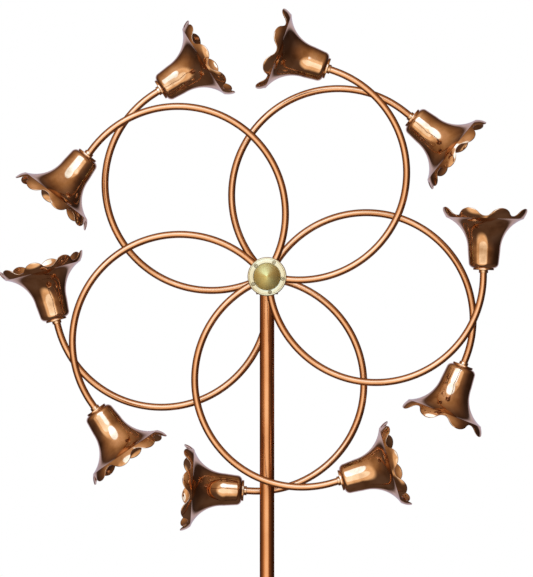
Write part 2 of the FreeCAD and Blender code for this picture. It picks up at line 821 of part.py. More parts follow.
def make_mast():
    split = dim.mast_split
    upper_screw = split + dim.mast_screw_spacing
    lower_screw = split - dim.mast_screw_spacing
    mast_top = dim.axle_height - dim.bush_cap - dim.bush_cap_thickness - dim.swivel_room
    upper, _ = lathe("upper_mast", [box_loop(dim.mast_bore, dim.mast_radius, split, mast_top)])
    drill_from_back(upper, [upper_screw], dim.mast_screw_radius)
    lower, _ = lathe("lower_mast", [box_loop(dim.mast_bore, dim.mast_radius, dim.mast_foot, split)])
    drill_from_back(lower, [lower_screw, dim.stake_screw_level], dim.mast_screw_radius)
    reach = dim.joiner_half_length
    joiner, _ = lathe(
        "mast_joiner", [box_loop(dim.joiner_bore, dim.mast_bore, split - reach, split + reach)]
    )
    drill_from_back(joiner, [upper_screw, lower_screw], dim.mast_screw_radius)

    screws = new_body("mast_screws", UPRIGHT)
    head_top = dim.mast_radius + dim.mast_screw_head_rise
    for level in (upper_screw, lower_screw, dim.stake_screw_level):
        # Turned about the Y axis of the mast, at the screw's level.
        sketch = new_sketch(screws, "YZ_Plane", y=level, angle=Size(-90, "-90"))
        draw_loop(
            sketch,
            [
                (ZERO, dim.joiner_bore),
                (dim.mast_screw_radius, dim.joiner_bore),
                (dim.mast_screw_radius, dim.mast_radius),
                (dim.mast_screw_head, dim.mast_radius),
                (dim.mast_screw_head, head_top - dim.mast_screw_bevel),
                (dim.mast_screw_head - dim.mast_screw_bevel, head_top),
                (ZERO, head_top),
            ],
        )
        revolve(screws, sketch)
        doc.recompute()


def make_stake():
    bar_top = dim.bar_thickness
    stake, _ = lathe(
        "ground_stake",
        [
            [
                (ZERO, -dim.stake_depth),
                (dim.stake_tip, -dim.stake_depth),
                (dim.stake_radius, dim.stake_point - dim.stake_depth),
                (dim.stake_radius, ZERO),
                (dim.mast_bore, ZERO),
                (dim.mast_bore, bar_top),
                (dim.stake_collar, bar_top),
                (dim.stake_collar, dim.mast_foot),
                (dim.mast_bore, dim.mast_foot),
                (dim.mast_bore, dim.stake_spigot_top),
                (ZERO, dim.stake_spigot_top),
            ]
        ],
    )
    tapped = new_sketch(stake, "XZ_Plane", lift=-dim.joiner_bore)
    draw_circle(tapped, dim.mast_screw_radius, y=dim.stake_screw_level)
    pocket(stake, tapped, dim.mast_radius, forwards=False)

    bar = new_body("step_bar", UPRIGHT)
    sketch = new_sketch(bar, "XY_Plane")
    half_width = dim.bar_width / 2
    straight = dim.bar_length / 2 - half_width
    draw_loop(
        sketch,
        [
            (straight, -half_width),
            (straight + half_width, ZERO, half_width),
            (straight, half_width, half_width),
            (-straight, half_width),
            (-straight - half_width, ZERO, half_width),
            (-straight, -half_width, half_width),
        ],
    )
    draw_circle(sketch, dim.mast_bore)
    for spread in (dim.prong_spread, -dim.prong_spread):
        draw_circle(sketch, dim.prong_radius, x=spread)
    pad(bar, sketch, bar_top)

    prongs, prong = lathe(
        "stake_prongs",
        [
            [
                (ZERO, -dim.prong_depth),
                (dim.stake_tip, -dim.prong_depth),
                (dim.prong_radius, dim.prong_point - dim.prong_depth),
                (dim.prong_radius, bar_top),
                (ZERO, bar_top),
            ]
        ],
        x=dim.prong_spread,
    )
    pattern(prongs, prong, Size(2, "2"))


# ---------------------------------------------------------------- assembly


def make_wheel(side, bell_turns):
    make_hub(side)
    make_bearings(side)
    for number, turn in enumerate(bell_turns):
        make_arm(side, number)
        make_bell(side, number, turn)
    make_bell_fixings(side)


def check_document():
    """Stop on any feature that failed and any sub-part without sound solids."""
    failed = [item.Label for item in doc.Objects if {"Invalid", "Error"} & set(item.State)]
    if failed:
        raise RuntimeError(f"failed features: {failed}")
    for body in subparts:
        shape = body.Shape
        if shape.isNull() or not shape.isValid() or not shape.Solids:
            raise RuntimeError(f"{body.Label} has no sound shape")


def export_subparts():
    os.makedirs("parts", exist_ok=True)
    for body in subparts:
        body.Shape.exportStep(f"parts/{body.Label}.step")
        box = body.Shape.BoundBox
        size = f"{box.XLength:.1f} x {box.YLength:.1f} x {box.ZLength:.1f}"
        print(f"{body.Label}: {len(body.Shape.Solids)} solids, {size} mm")


make_stake()
make_mast()
make_head()
make_axle()
make_wheel("front", FRONT_BELL_TURNS)
make_wheel("rear", REAR_BELL_TURNS)
doc.recompute()
check_document()
export_subparts()
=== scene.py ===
"""Looks of the garden wind spinner: copper arms, polished bells, brass hubs and a staked mast.

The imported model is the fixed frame. Arms, bells, ferrules, face plates, domes and hub screws are
rebuilt here as finer meshes in the same places. The other CAD nodes stay and get materials.
Units are metres, +Z is up and -Y is the side of the front wheel.
"""

import json
import math

import bpy
from mathutils import Matrix, Vector


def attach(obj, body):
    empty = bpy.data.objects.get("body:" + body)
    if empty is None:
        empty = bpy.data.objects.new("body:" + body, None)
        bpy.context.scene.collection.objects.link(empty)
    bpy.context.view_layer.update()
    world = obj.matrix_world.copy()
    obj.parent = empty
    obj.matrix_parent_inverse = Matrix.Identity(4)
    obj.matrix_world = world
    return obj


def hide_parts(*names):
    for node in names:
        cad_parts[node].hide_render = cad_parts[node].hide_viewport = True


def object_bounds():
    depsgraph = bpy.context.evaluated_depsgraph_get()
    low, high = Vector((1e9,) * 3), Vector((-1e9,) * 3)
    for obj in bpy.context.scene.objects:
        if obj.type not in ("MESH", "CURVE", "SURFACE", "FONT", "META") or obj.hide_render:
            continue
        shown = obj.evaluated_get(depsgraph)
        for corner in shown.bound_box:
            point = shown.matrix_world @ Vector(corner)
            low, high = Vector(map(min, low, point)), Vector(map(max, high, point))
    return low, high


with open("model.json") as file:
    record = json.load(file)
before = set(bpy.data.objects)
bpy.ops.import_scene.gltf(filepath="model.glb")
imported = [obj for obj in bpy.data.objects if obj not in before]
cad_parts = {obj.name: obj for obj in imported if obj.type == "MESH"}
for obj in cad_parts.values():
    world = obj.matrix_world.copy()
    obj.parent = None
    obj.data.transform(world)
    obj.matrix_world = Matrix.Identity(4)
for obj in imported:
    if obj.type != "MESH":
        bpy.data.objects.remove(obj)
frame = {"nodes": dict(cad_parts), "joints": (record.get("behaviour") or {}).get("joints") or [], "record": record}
cad_low, cad_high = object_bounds()

MM = 0.001
FULL_TURN = 2 * math.pi
UP = Vector((0, 0, 1))

# ---------------------------------------------------------------- sizes shared with the CAD model

ARM_COUNT = 5
ARM_BEND = 121 * MM
ARM_SWEEP = math.radians(168.3)
ARM_TAIL = 11 * MM
TUBE_START = 12.5 * MM
TUBE_STRAIGHT = 20 * MM
TUBE_RADIUS = 4.05 * MM

BELL_SHEET = 0.9 * MM
BELL_HOLE = 2 * MM
BELL_BASE = 11 * MM
BELL_CORNER = 6 * MM
BELL_WAIST = 18.4 * MM
BELL_WAIST_LEVEL = 20 * MM
BELL_CREASE = 43.8 * MM
BELL_CREASE_LEVEL = 56.3 * MM
FLARE_BEND = 38.8 * MM
PETAL_TIP = 49.6 * MM
PETAL_TIP_LEVEL = 67.8 * MM
PETAL_COUNT = 8
PETAL_HALF_WIDTH = 17.6 * MM
VALLEY_LEVEL = 58.8 * MM
LOBE_BEND = 13 * MM

FERRULE_FLANGE = 11.9 * MM
FERRULE_SLEEVE = 5.3 * MM
FLANGE_THICKNESS = 2.2 * MM
FERRULE_LENGTH = 5.5 * MM

HUB_HALF_WIDTH = 8 * MM
PLATE_THICKNESS = 2 * MM
PLATE_RADIUS = 22 * MM
PLATE_HOLE = 12 * MM
DOME_RADIUS = 15 * MM
DOME_RISE = 9 * MM
SCREW_CIRCLE = 17.6 * MM
SCREW_HEAD = 1.9 * MM
SCREW_HEAD_RISE = 0.9 * MM

# Degrees from +X (front) or -X (rear) to each wheel's first arm, and each bell's own turn.
WHEELS = {
    "front": {"roll": 64.2, "bell_turns": (14.0, 31.5, 11.25, 0.0, 0.0)},
    "rear": {"roll": 50.65, "bell_turns": (37.0, 0.0, 33.75, 11.25, 11.25)},
}


# ---------------------------------------------------------------- mesh building blocks


def mesh_object(name, vertices, faces, body):
    """A smooth-shaded mesh that rides on a body."""
    mesh = bpy.data.meshes.new(name)
    mesh.from_pydata([tuple(v) for v in vertices], [], faces)
    mesh.validate()
    mesh.shade_smooth()
    piece = bpy.data.objects.new(name, mesh)
    bpy.context.scene.collection.objects.link(piece)
    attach(piece, body)
    return piece


def around_axis(radius, angle, level):
    return Vector((radius * math.cos(angle), radius * math.sin(angle), level))


def ring_faces(rows, columns, closed_rows=False):
    """Quads of a grid whose columns run round a full turn."""
    faces = []
    for row in range(rows if closed_rows else rows - 1):
        below = row * columns
        above = (row + 1) % rows * columns
        for column in range(columns):
            beside = (column + 1) % columns
            faces.append((below + column, below + beside, above + beside, above + column))
    return faces


def capped_faces(rows, columns):
    """The same quads, with a face over the first row and one over the last."""
    faces = ring_faces(rows, columns)
    faces.append(tuple(reversed(range(columns))))
    faces.append(tuple(range((rows - 1) * columns, rows * columns)))
    return faces


def with_grid_uv(piece, rows, columns):
    """UVs of a grid mesh: U round the turn, V along the profile."""
    layer = piece.data.uv_layers.new(name="grid")
    for polygon in piece.data.polygons:
        corners = [(v // columns, v % columns) for v in polygon.vertices]
        wraps = max(c for _, c in corners) - min(c for _, c in corners) > 1
        row_wraps = max(r for r, _ in corners) - min(r for r, _ in corners) > 1
        for loop, (row, column) in zip(polygon.loop_indices, corners):
            u = column + (columns if wraps and column == 0 else 0)
            v = row + (rows if row_wraps and row == 0 else 0)
            layer.data[loop].uv = (u / columns, v / rows)
    return piece


def rounded(corners, radius, steps=4):
    """A closed outline with each corner replaced by a small arc."""
    most_of_side = 0.45
    outline = []
    count = len(corners)
    for index, corner in enumerate(corners):
        here = Vector(corner)
        back = Vector(corners[index - 1]) - here
        ahead = Vector(corners[(index + 1) % count]) - here
        reach = min(radius, back.length * most_of_side, ahead.length * most_of_side)
        start = here + back.normalized() * reach
        end = here + ahead.normalized() * reach
        for step in range(steps + 1):
            t = step / steps
            outline.append(start * (1 - t) ** 2 + here * 2 * t * (1 - t) + end * t**2)
    return outline


def turned(name, outline, place, body, columns=96, closed=True):
    """A turned piece: an outline of (radius, level) about the Z axis of a placing matrix."""
    vertices = []
    for radius, level in outline:
        for column in range(columns):
            vertices.append(place @ around_axis(radius, FULL_TURN * column / columns, level))
    rows = len(outline)
    piece = mesh_object(name, vertices, ring_faces(rows, columns, closed), body)
    return with_grid_uv(piece, rows, columns)


def sweep(name, path, radius, normal, body, columns=40):
    """A round bar along a flat path; normal is square to the path's plane. Ends are closed."""
    vertices = []
    for index, spot in enumerate(path):
        ahead = path[min(index + 1, len(path) - 1)]
        behind = path[max(index - 1, 0)]
        along = (ahead - behind).normalized()
        across = along.cross(normal).normalized()
        for column in range(columns):
            angle = FULL_TURN * column / columns
            vertices.append(spot + radius * (across * math.cos(angle) + normal * math.sin(angle)))
    rows = len(path)
    piece = mesh_object(name, vertices, capped_faces(rows, columns), body)
    return with_grid_uv(piece, rows, columns)


# ---------------------------------------------------------------- places


def joint(name):
    return next(item for item in frame["joints"] if item["name"] == name)


def columns_matrix(x, y, z, origin):
    made = Matrix((x, y, z)).transposed().to_4x4()
    made.translation = origin
    return made


def wheel_frame(side):
    """Middle of a wheel: Z along the axle away from the mast, X along the wheel's first arm."""
    spin = joint(f"{side}_spin")
    outward = Vector(spin["axis"])
    place = columns_matrix(UP.cross(outward), UP, outward, Vector(spin["pos_m"]))
    return place @ Matrix.Rotation(math.radians(WHEELS[side]["roll"]), 4, "Z")


def arm_frame(side, number):
    return wheel_frame(side) @ Matrix.Rotation(FULL_TURN * number / ARM_COUNT, 4, "Z")


def arm_path():
    """Middle line of an arm in its own frame."""
    curve_steps = 120
    path = [Vector((TUBE_START, 0, 0)), Vector(((TUBE_START + TUBE_STRAIGHT) / 2, 0, 0))]
    for step in range(curve_steps + 1):
        angle = ARM_SWEEP * step / curve_steps
        x = TUBE_STRAIGHT + ARM_BEND * math.sin(angle)
        path.append(Vector((x, ARM_BEND * (1 - math.cos(angle)), 0)))
    heading = Vector((math.cos(ARM_SWEEP), math.sin(ARM_SWEEP), 0))
    path.append(path[-1] + heading * ARM_TAIL / 2)
    path.append(path[-1] + heading * ARM_TAIL / 2)
    return path


def bell_frame(side, number, turn=0.0):
    """Middle of a bell's bottom: Z out of its mouth, X away from the wheel's outer face."""
    end = arm_path()[-1]
    heading = Matrix.Rotation(ARM_SWEEP, 4, "Z") @ Matrix.Rotation(math.pi / 2, 4, "Y")
    own_turn = Matrix.Rotation(math.radians(turn), 4, "Z")
    return arm_frame(side, number) @ Matrix.Translation(end) @ heading @ own_turn


# ---------------------------------------------------------------- bells


def flare_points(steps):
    """The flare's arc from the waist to the crease, (radius, level)."""
    start = Vector((BELL_WAIST, BELL_WAIST_LEVEL))
    end = Vector((BELL_CREASE, BELL_CREASE_LEVEL))
    chord = end - start
    away = Vector((chord.y, -chord.x)).normalized()
    reach = math.sqrt(FLARE_BEND**2 - chord.length_squared / 4)
    centre = (start + end) / 2 + away * reach
    first = math.atan2(start.y - centre.y, start.x - centre.x) % FULL_TURN
    last = math.atan2(end.y - centre.y, end.x - centre.x) % FULL_TURN
    angles = [first + (last - first) * step / steps for step in range(1, steps + 1)]
    return [centre + FLARE_BEND * Vector((math.cos(a), math.sin(a))) for a in angles]


def cup_profile():
    """Outside of a bell from its stud hole to just under the crease."""
    corner_steps = 10
    wall_steps = 6
    flare_steps = 26
    close_to_crease = 0.8
    profile = [Vector((BELL_HOLE, 0)), Vector((BELL_BASE * 0.6, 0)), Vector((BELL_BASE, 0))]
    for step in range(1, corner_steps + 1):
        angle = math.pi / 2 * step / corner_steps
        x = BELL_BASE + BELL_CORNER * math.sin(angle)
        profile.append(Vector((x, BELL_CORNER * (1 - math.cos(angle)))))
    corner_end = profile[-1]
    waist = Vector((BELL_WAIST, BELL_WAIST_LEVEL))
    for step in range(1, wall_steps + 1):
        profile.append(corner_end.lerp(waist, step / wall_steps))
    flare = flare_points(flare_steps)
    beside_crease = flare[-2].lerp(flare[-1], close_to_crease)
    return profile + flare[:-1] + [beside_crease]


def petal_level(across):
    """Level of a petal's rim at a place across it, -1 and 1 being the middles of its valleys."""
    width = PETAL_HALF_WIDTH
    rise = PETAL_TIP_LEVEL - VALLEY_LEVEL
    bends = (width**2 + rise**2) / (2 * rise)
    valley_bend = bends - LOBE_BEND
    from_valley = width * (1 - abs(across))
    if from_valley < width * valley_bend / bends:
        return VALLEY_LEVEL + valley_bend - math.sqrt(valley_bend**2 - from_valley**2)
    from_crown = width - from_valley
    return PETAL_TIP_LEVEL - LOBE_BEND + math.sqrt(LOBE_BEND**2 - from_crown**2)


def petal_point(across, along):
    """Outside of a petal: (radius, level) at a share of the way from crease to rim."""
    cup_depth = 1.1 * MM
    valley_lift = 1.2 * MM
    full = Vector((PETAL_TIP - BELL_CREASE, PETAL_TIP_LEVEL - BELL_CREASE_LEVEL))
    reach = along * (petal_level(across) - BELL_CREASE_LEVEL) / full.y
    cupped = cup_depth * math.sin(math.pi * reach) * (1 - across**2)
    upright = valley_lift * reach * across**2
    inward = Vector((-full.y, full.x)).normalized()
    spot = Vector((BELL_CREASE, BELL_CREASE_LEVEL)) + full * reach
    return spot - inward * cupped + inward * upright


def make_bell(side, number, turn):
    """A bell's cup and its ring of petals, as one sheet."""
    columns_per_petal = 28
    columns = PETAL_COUNT * columns_per_petal
    petal_rows = 14
    cup = cup_profile()
    place = bell_frame(side, number, turn)
    vertices = []
    rows = len(cup) + petal_rows
    for row in range(rows):
        for column in range(columns):
            angle = FULL_TURN * column / columns
            if row < len(cup):
                radius, level = cup[row]
            else:
                across = 2 * (column % columns_per_petal) / columns_per_petal - 1
                radius, level = petal_point(across, (row - len(cup)) / (petal_rows - 1))
            vertices.append(place @ around_axis(radius, angle, level))
    name = f"{side}_bell_shell_{number + 1}"
    faces = ring_faces(rows, columns)
    piece = mesh_object(name, vertices, faces, f"{side}_wheel")
    with_grid_uv(piece, rows, columns)
    thickness = piece.modifiers.new("sheet", "SOLIDIFY")
    thickness.thickness = BELL_SHEET
    thickness.offset = -1
    piece.data.materials.append(bronze)
    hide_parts(f"{side}_bell_{number + 1}")


# ---------------------------------------------------------------- materials


def material(name, colour, metallic, roughness, edge=(1, 1, 1)):
    """A new material; edge tints its gloss at glancing angles."""
    made = bpy.data.materials.new(name)
    made.use_nodes = True
    shader = made.node_tree.nodes["Principled BSDF"]
    shader.inputs["Specular Tint"].default_value = (*edge, 1)
    shader.inputs["Base Color"].default_value = (*colour, 1)
    shader.inputs["Metallic"].default_value = metallic
    shader.inputs["Roughness"].default_value = roughness
    return made, made.node_tree, shader


def add(tree, kind, **inputs):
    node = tree.nodes.new(kind)
    for key, value in inputs.items():
        node.inputs[key.replace("_", " ")].default_value = value
    return node


def noise(tree, vector, scale, detail=3.0):
    node = add(tree, "ShaderNodeTexNoise", Scale=scale, Detail=detail)
    tree.links.new(vector, node.inputs["Vector"])
    return node.outputs["Fac"]


def ramp(tree, value, stops):
    """Colour ramp from [(position, (r, g, b))]."""
    node = tree.nodes.new("ShaderNodeValToRGB")
    elements = node.color_ramp.elements
    while len(elements) < len(stops):
        elements.new(0.5)
    for element, (position, colour) in zip(elements, stops):
        element.position = position
        element.color = (*colour, 1)
    tree.links.new(value, node.inputs["Fac"])
    return node.outputs["Color"]


def spread(tree, value, low, high):
    """Map a 0 to 1 value to a range."""
    node = tree.nodes.new("ShaderNodeMapRange")
    node.inputs["To Min"].default_value = low
    node.inputs["To Max"].default_value = high
    tree.links.new(value, node.inputs["Value"])
    return node.outputs["Result"]


def bump(tree, height, shader, distance, strength=1.0, before=None):
    node = tree.nodes.new("ShaderNodeBump")
    node.inputs["Distance"].default_value = distance
    node.inputs["Strength"].default_value = strength
    tree.links.new(height, node.inputs["Height"])
    if before is not None:
        tree.links.new(before, node.inputs["Normal"])
    tree.links.new(node.outputs["Normal"], shader.inputs["Normal"])
    return node.outputs["Normal"]


def stretched(tree, source, scale):
    node = tree.nodes.new("ShaderNodeMapping")
    node.inputs["Scale"].default_value = scale
    tree.links.new(source, node.inputs["Vector"])
    return node.outputs["Vector"]


# How many noise cells a metre of metal has, for its mottled gloss and for its hammered waves.
MOTTLE_SCALE = 90.0
WAVE_SCALE = 45.0
# A quarter turn from the tangent, so that highlights are drawn out across the rings.
RINGS_ACROSS_TANGENT = 0.25


def worked_metal(
    name,
    dark,
    mid,
    light,
    roughness,
    line_scale,
    line_depth,
    grid=True,
    wave=0.0,
    edge=(1, 1, 1),
    spun=0.0,
    patch_scale=22.0,
):
    """Metal whose tone drifts in soft patches, with fine tool marks along or round it.

    Tool marks follow the mesh's grid, or the object's own axes where it has no grid. wave is the
    depth of hammered waves, and spun is how strongly rings of tool marks about the Y axis draw
    out its highlights.
    """
    made, tree, shader = material(name, mid, 1.0, roughness[0], edge)
    if spun:
        shader.inputs["Anisotropic"].default_value = spun
        shader.inputs["Anisotropic Rotation"].default_value = RINGS_ACROSS_TANGENT
        rings = tree.nodes.new("ShaderNodeTangent")
        rings.direction_type = "RADIAL"
        rings.axis = "Y"
        tree.links.new(rings.outputs["Tangent"], shader.inputs["Tangent"])
    places = tree.nodes.new("ShaderNodeTexCoord")
    patches = noise(tree, places.outputs["Object"], patch_scale, 4.0)
    tone = ramp(tree, patches, [(0.25, dark), (0.5, mid), (0.75, light)])
    tree.links.new(tone, shader.inputs["Base Color"])
    marks_from = places.outputs["UV" if grid else "Object"]
    marks = noise(tree, stretched(tree, marks_from, line_scale), 1.0, 2.0)
    mottled = noise(tree, places.outputs["Object"], MOTTLE_SCALE, 3.0)
    tree.links.new(spread(tree, mottled, *roughness), shader.inputs["Roughness"])
    normal = bump(tree, marks, shader, line_depth)
    if wave:
        waves = noise(tree, places.outputs["Object"], WAVE_SCALE, 1.0)
        bump(tree, waves, shader, wave, before=normal)
    return made


copper = worked_metal(
    "satin_copper",
    dark=(0.66, 0.31, 0.135),
    mid=(0.78, 0.385, 0.18),
    light=(0.86, 0.46, 0.235),
    roughness=(0.14, 0.22),
    line_scale=(24, 3, 1),
    line_depth=0.003 * MM,
    edge=(0.10, 0.06, 0.04),
)
aged_copper = worked_metal(
    "aged_copper",
    dark=(0.60, 0.25, 0.10),
    mid=(0.71, 0.315, 0.13),
    light=(0.80, 0.38, 0.17),
    roughness=(0.14, 0.22),
    line_scale=(24, 3, 1),
    line_depth=0.003 * MM,
    edge=(0.10, 0.06, 0.04),
)
bronze = worked_metal(
    "polished_bronze",
    dark=(0.44, 0.23, 0.105),
    mid=(0.80, 0.485, 0.265),
    light=(0.98, 0.68, 0.44),
    roughness=(0.05, 0.14),
    line_scale=(3, 90, 1),
    line_depth=0.004 * MM,
    wave=0.14 * MM,
    patch_scale=60.0,
)
pale_brass = worked_metal(
    "pale_brass",
    dark=(0.74, 0.62, 0.37),
    mid=(0.81, 0.695, 0.43),
    light=(0.88, 0.78, 0.51),
    roughness=(0.28, 0.38),
    line_scale=(2, 90, 1),
    line_depth=0.01 * MM,
    spun=0.5,
)
dome_brass = worked_metal(
    "dome_brass",
    dark=(0.70, 0.54, 0.17),
    mid=(0.80, 0.64, 0.22),
    light=(0.90, 0.75, 0.30),
    roughness=(0.33, 0.40),
    line_scale=(2, 60, 1),
    line_depth=0.015 * MM,
    spun=0.95,
)
# Dark brass for the hub screws' sockets and the thin rings round their heads: painted shade in these recesses.
painted_shade_brass = worked_metal(
    "painted_shade_brass",
    dark=(0.20, 0.15, 0.07),
    mid=(0.30, 0.235, 0.12),
    light=(0.40, 0.32, 0.17),
    roughness=(0.40, 0.50),
    line_scale=(2, 40, 1),
    line_depth=0.01 * MM,
)
zinc = worked_metal(
    "zinc_steel",
    dark=(0.42, 0.43, 0.45),
    mid=(0.56, 0.57, 0.58),
    light=(0.68, 0.68, 0.68),
    roughness=(0.25, 0.40),
    line_scale=(900, 900, 60),
    line_depth=0.01 * MM,
    grid=False,
)
bearing_steel = worked_metal(
    "bearing_steel",
    dark=(0.60, 0.61, 0.63),
    mid=(0.70, 0.71, 0.73),
    light=(0.80, 0.80, 0.81),
    roughness=(0.10, 0.20),
    line_scale=(900, 60, 900),
    line_depth=0.004 * MM,
    grid=False,
)


def powder_coat():
    made, tree, shader = material("black_powder_coat", (0.02, 0.02, 0.022), 0.0, 0.45)
    places = tree.nodes.new("ShaderNodeTexCoord")
    grain = noise(tree, places.outputs["Object"], 1600.0, 2.0)
    patches = noise(tree, places.outputs["Object"], 18.0, 3.0)
    shades = [(0.3, (0.016, 0.016, 0.018)), (0.7, (0.032, 0.031, 0.031))]
    tree.links.new(ramp(tree, patches, shades), shader.inputs["Base Color"])
    tree.links.new(spread(tree, grain, 0.38, 0.55), shader.inputs["Roughness"])
    bump(tree, grain, shader, 0.05 * MM)
    return made


def moulded_nylon():
    made, tree, shader = material("natural_nylon", (0.80, 0.78, 0.70), 0.0, 0.5)
    places = tree.nodes.new("ShaderNodeTexCoord")
    grain = noise(tree, places.outputs["Object"], 700.0, 2.0)
    cloud = noise(tree, places.outputs["Object"], 60.0, 2.0)
    shades = [(0.3, (0.74, 0.72, 0.63)), (0.7, (0.84, 0.82, 0.75))]
    tree.links.new(ramp(tree, cloud, shades), shader.inputs["Base Color"])
    tree.links.new(spread(tree, grain, 0.42, 0.6), shader.inputs["Roughness"])
    bump(tree, grain, shader, 0.03 * MM)
    return made


black_steel = powder_coat()
nylon = moulded_nylon()
FINISHES = {
    "satin_copper": copper,
    "aged_copper": aged_copper,
    "polished_bronze": bronze,
    "pale_brass": pale_brass,
    "dome_brass": dome_brass,
    "zinc_steel": zinc,
    "bearing_steel": bearing_steel,
    "black_steel": black_steel,
    "nylon": nylon,
}


def finish_cad_nodes():
    """Give every CAD node the detailed material of its slot."""
    for entry in frame["record"]["subparts"]:
        node = frame["nodes"][entry["node"]]
        for place in node.material_slots:
            place.link = "OBJECT"
            place.material = FINISHES[entry["material_slot"]]


# ---------------------------------------------------------------- wheels


def make_arm(side, number):
    place = arm_frame(side, number)
    path = [place @ spot for spot in arm_path()]
    normal = (place.to_3x3() @ UP).normalized()
    name = f"{side}_arm_tube_{number + 1}"
    piece = sweep(name, path, TUBE_RADIUS, normal, f"{side}_wheel")
    piece.data.materials.append(copper)
    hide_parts(f"{side}_arm_{number + 1}")


def make_ferrule(side, number):
    """The flange and sleeve between an arm and its bell."""
    corner = 0.5 * MM
    outline = rounded(
        [
            (TUBE_RADIUS, -FERRULE_LENGTH),
            (FERRULE_SLEEVE, -FERRULE_LENGTH),
            (FERRULE_SLEEVE, -FLANGE_THICKNESS),
            (FERRULE_FLANGE, -FLANGE_THICKNESS),
            (FERRULE_FLANGE, 0),
            (TUBE_RADIUS, 0),
        ],
        corner,
    )
    place = bell_frame(side, number)
    name = f"{side}_ferrule_{number + 1}"
    piece = turned(name, outline, place, f"{side}_wheel", columns=64)
    piece.data.materials.append(bronze)
    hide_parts(f"{side}_bell_ferrules")


def make_face_plate(side):
    """A bevelled ring with a fine groove near its edge and a step down to the dome."""
    low = HUB_HALF_WIDTH
    high = HUB_HALF_WIDTH + PLATE_THICKNESS
    bevel = 0.9 * MM
    groove = PLATE_RADIUS - 2.0 * MM
    groove_half = 0.3 * MM
    corner = 0.12 * MM
    outline = rounded(
        [
            (PLATE_HOLE, low),
            (PLATE_RADIUS, low),
            (PLATE_RADIUS, high - bevel),
            (PLATE_RADIUS - bevel, high),
            (groove + groove_half, high),
            (groove, high - groove_half),
            (groove - groove_half, high),
            (DOME_RADIUS + groove_half * 2, high),
            (DOME_RADIUS + groove_half, high - groove_half * 2),
            (PLATE_HOLE, high - groove_half * 2),
        ],
        corner,
        steps=3,
    )
    body = f"{side}_wheel"
    piece = turned(f"{side}_hub_rim", outline, wheel_frame(side), body, columns=144)
    piece.data.materials.append(pale_brass)
    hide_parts(f"{side}_face_plate")


def dome_level(across):
    """Height of the dome at a share of its radius: half a ball's cap, half a blunt cone."""
    ball = (DOME_RADIUS**2 + DOME_RISE**2) / (2 * DOME_RISE)
    cap = math.sqrt(ball**2 - (across * DOME_RADIUS) ** 2) - (ball - DOME_RISE)
    blunt = 0.12
    full_slope = math.hypot(1, blunt) - blunt
    cone = DOME_RISE * (math.hypot(1, blunt) - math.hypot(across, blunt)) / full_slope
    return (cap + cone) / 2


def make_dome(side):
    """A spun dome on a spigot, as an open shell."""
    foot = HUB_HALF_WIDTH + PLATE_THICKNESS
    rim_bevel = 0.3 * MM
    tip = 0.01 * MM
    steps = 40
    outline = [Vector((PLATE_HOLE, HUB_HALF_WIDTH)), Vector((PLATE_HOLE, foot))]
    outline.append(Vector((DOME_RADIUS - rim_bevel, foot)))
    for step in range(steps):
        across = 1 - step / steps
        outline.append(Vector((DOME_RADIUS * across, foot + dome_level(across))))
    outline.append(Vector((tip, foot + DOME_RISE)))
    body = f"{side}_wheel"
    piece = turned(f"{side}_dome", outline, wheel_frame(side), body, closed=False)
    piece.data.materials.append(dome_brass)
    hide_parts(f"{side}_dome_cap")


def make_hub_screw(side, number):
    """A low round head with a hexagonal socket, over one arm, on a thin ring round its foot; the ring and the
    socket are dark brass as painted shade.
    """
    foot = HUB_HALF_WIDTH + PLATE_THICKNESS
    top = foot + SCREW_HEAD_RISE
    # A thin ring just wider than the head, sunk into the plate, which carries painted shade round the head.
    shade_ring = SCREW_HEAD + 0.4 * MM
    sunk = 0.4 * MM
    shade_ring_rise = 0.06 * MM
    head = SCREW_HEAD - 0.25 * MM
    head_foot = foot + 0.1 * MM
    shoulder = foot + 0.5 * MM
    shoulder_bevel = 0.3 * MM
    socket = 0.95 * MM
    socket_floor = top - 0.6 * MM
    middle = 0.02 * MM
    shade_ring_outline = [(shade_ring, foot - sunk), (shade_ring, foot + shade_ring_rise)]
    head_outline = [(head, head_foot), (head, shoulder), (head - shoulder_bevel, top)]
    socket_outline = [(socket, top), (socket, socket_floor), (middle, socket_floor)]
    outline = shade_ring_outline + head_outline + socket_outline
    head_row = len(shade_ring_outline)
    socket_row = head_row + len(head_outline)
    columns = 48
    place = arm_frame(side, number) @ Matrix.Translation((SCREW_CIRCLE, 0, 0))
    sixth = FULL_TURN / 6
    vertices = []
    for row, (radius, level) in enumerate(outline):
        for column in range(columns):
            angle = FULL_TURN * column / columns
            reach = radius
            if row >= socket_row:
                reach = radius / math.cos(angle % sixth - sixth / 2)
            vertices.append(place @ around_axis(reach, angle, level))
    rows = len(outline)
    faces = capped_faces(rows, columns)
    body = f"{side}_wheel"
    piece = mesh_object(f"{side}_hub_screw_{number + 1}", vertices, faces, body)
    piece.data.shade_flat()
    with_grid_uv(piece, rows, columns)
    piece.data.materials.append(pale_brass)
    piece.data.materials.append(painted_shade_brass)
    # The ring round the head and the socket take the dark brass, as painted shade.
    for face in piece.data.polygons:
        row = min(face.vertices) // columns
        face.material_index = 1 if row < head_row or row >= socket_row else 0
    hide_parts(f"{side}_hub_screws")


def make_wheel(side):
    for number, turn in enumerate(WHEELS[side]["bell_turns"]):
        make_arm(side, number)
        make_bell(side, number, turn)
        make_ferrule(side, number)
        make_hub_screw(side, number)
    make_face_plate(side)
    make_dome(side)


# ---------------------------------------------------------------- camera, light and floor

AXLE = (Vector(joint("front_spin")["pos_m"]) + Vector(joint("rear_spin")["pos_m"])) / 2
CAMERA_DISTANCE = 20.0
CAMERA_REACH = 100.0
FRAME_HEIGHT = 0.652
LONG_SENSOR_SIDE = 0.024
HUB_ABOVE_MIDDLE = 0.0134
HUB_RIGHT_OF_MIDDLE = 0.0006
FLOOR_REACH = 40.0
FLOOR_GLOW = 0.5


